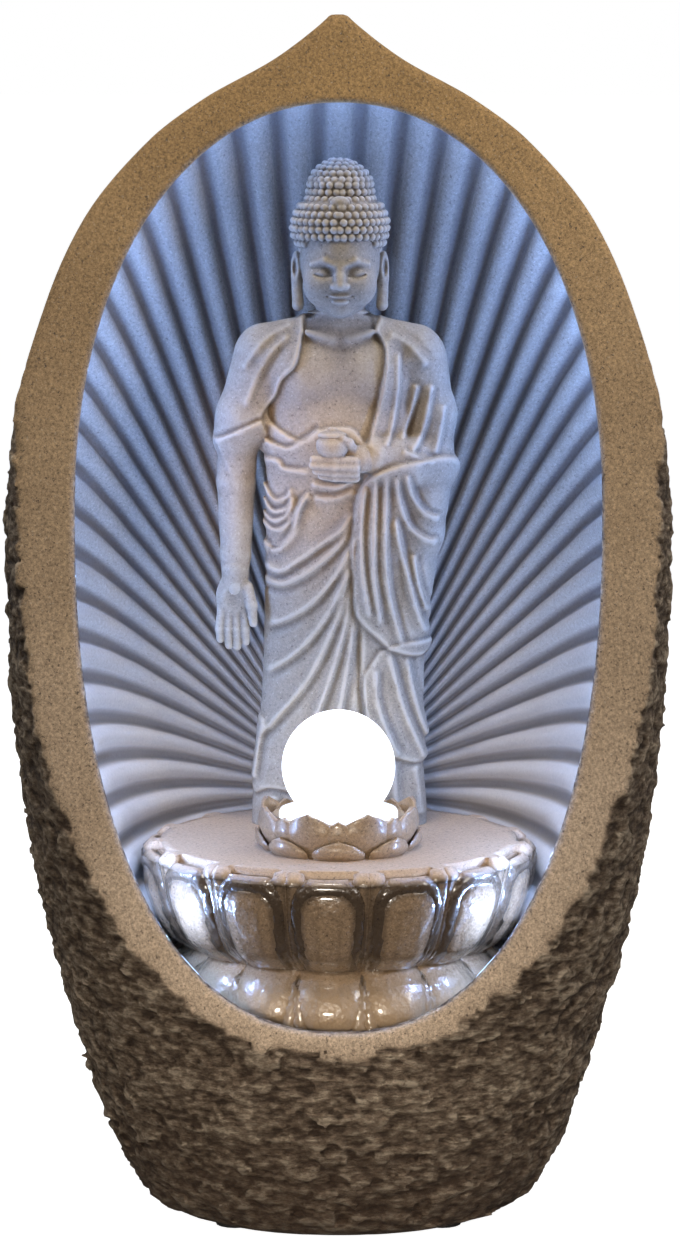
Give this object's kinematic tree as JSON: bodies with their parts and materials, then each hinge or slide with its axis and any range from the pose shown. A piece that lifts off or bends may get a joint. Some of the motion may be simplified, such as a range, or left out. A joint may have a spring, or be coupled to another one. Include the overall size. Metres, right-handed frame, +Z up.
{
  "type": "tabletop water fountain",
  "caption": "Stone-look tabletop fountain: ribbed niche in a rough leaf-shaped shell, standing robed figure, lotus throne and a lit glass ball rolling on a water jet in a lotus cup.",
  "frame": {"origin": "on the surface the fountain stands on, under the middle of its box", "axes": "+Z up, the niche opens towards -Y, +X is the viewer's right"},
  "size_m": [0.3548, 0.25, 0.6385],
  "materials": {
    "chiselled_stone": "rough chiselled stone-look resin, painted dark brown",
    "sandstone": "smooth speckled sandstone-look resin",
    "ball_glass": "polished, lit from below",
    "clear_acrylic": "clear, polished",
    "led": "cool white LED",
    "black_plastic": "moulded, matt",
    "grey_plastic": "moulded, matt",
    "rubber": "matt",
    "steel": "stainless",
    "ceramic": "ground",
    "lamp_board_white": "white circuit board",
    "strip_silicone": "translucent sleeve over cool white LEDs"
  },
  "bodies": {
    "fountain": {"rock_shell": "chiselled_stone", "niche_liner": "sandstone", "reservoir_tub": "grey_plastic", "base_plate": "black_plastic", "foot_1": "rubber", "foot_2": "rubber", "foot_3": "rubber", "foot_4": "rubber", "base_screw_1": "steel", "base_screw_2": "steel", "base_screw_3": "steel", "base_screw_4": "steel", "lotus_throne": "sandstone", "deck_post_1": "grey_plastic", "deck_post_2": "grey_plastic", "deck_post_3": "grey_plastic", "deck_post_4": "grey_plastic", "figure": "sandstone", "figure_screw": "steel", "lotus_cup": "sandstone", "lamp_housing": "grey_plastic", "lamp_board": "lamp_board_white", "lamp_led_1": "led", "lamp_led_2": "led", "lamp_led_3": "led", "lamp_led_4": "led", "lamp_lens": "clear_acrylic", "jet_nozzle": "grey_plastic", "riser_tube": "clear_acrylic", "pump_motor": "black_plastic", "pump_chamber": "black_plastic", "pump_intake_cover": "grey_plastic", "impeller_shaft": "ceramic", "shaft_bush_rear": "rubber", "suction_cup_1": "rubber", "suction_cup_2": "rubber", "suction_cup_3": "rubber", "suction_cup_4": "rubber", "light_strip": "strip_silicone", "hatch_frame": "grey_plastic", "power_socket": "black_plastic", "socket_nut": "steel", "splice_block": "grey_plastic", "pump_lead": "black_plastic", "lamp_lead": "black_plastic", "strip_lead": "black_plastic"},
    "seat": {"ball_socket": "clear_acrylic"},
    "ball": {"ball": "ball_glass"},
    "rotor": {"impeller": "grey_plastic"},
    "slider": {"flow_slider": "grey_plastic"},
    "hatch": {"rear_hatch": "chiselled_stone"}
  },
  "joints": [
    {"name": "seat_lift", "type": "slide", "parent": "fountain", "child": "seat", "axis": [0, 0, 1], "range_m": [0, 0.05]},
    {"name": "ball_spin", "type": "hinge", "parent": "seat", "child": "ball", "pos_m": [0, -0.036, 0.245], "axis": [1, 0, 0], "continuous": true},
    {"name": "impeller_spin", "type": "hinge", "parent": "fountain", "child": "rotor", "pos_m": [0, -0.036, 0.044], "axis": [0, 1, 0], "continuous": true},
    {"name": "flow_slide", "type": "slide", "parent": "fountain", "child": "slider", "axis": [0, 0, 1], "range_m": [0, 0.018]},
    {"name": "hatch_pull", "type": "slide", "parent": "fountain", "child": "hatch", "axis": [0, 1, 0], "range_m": [0, 0.06]}
  ]
}
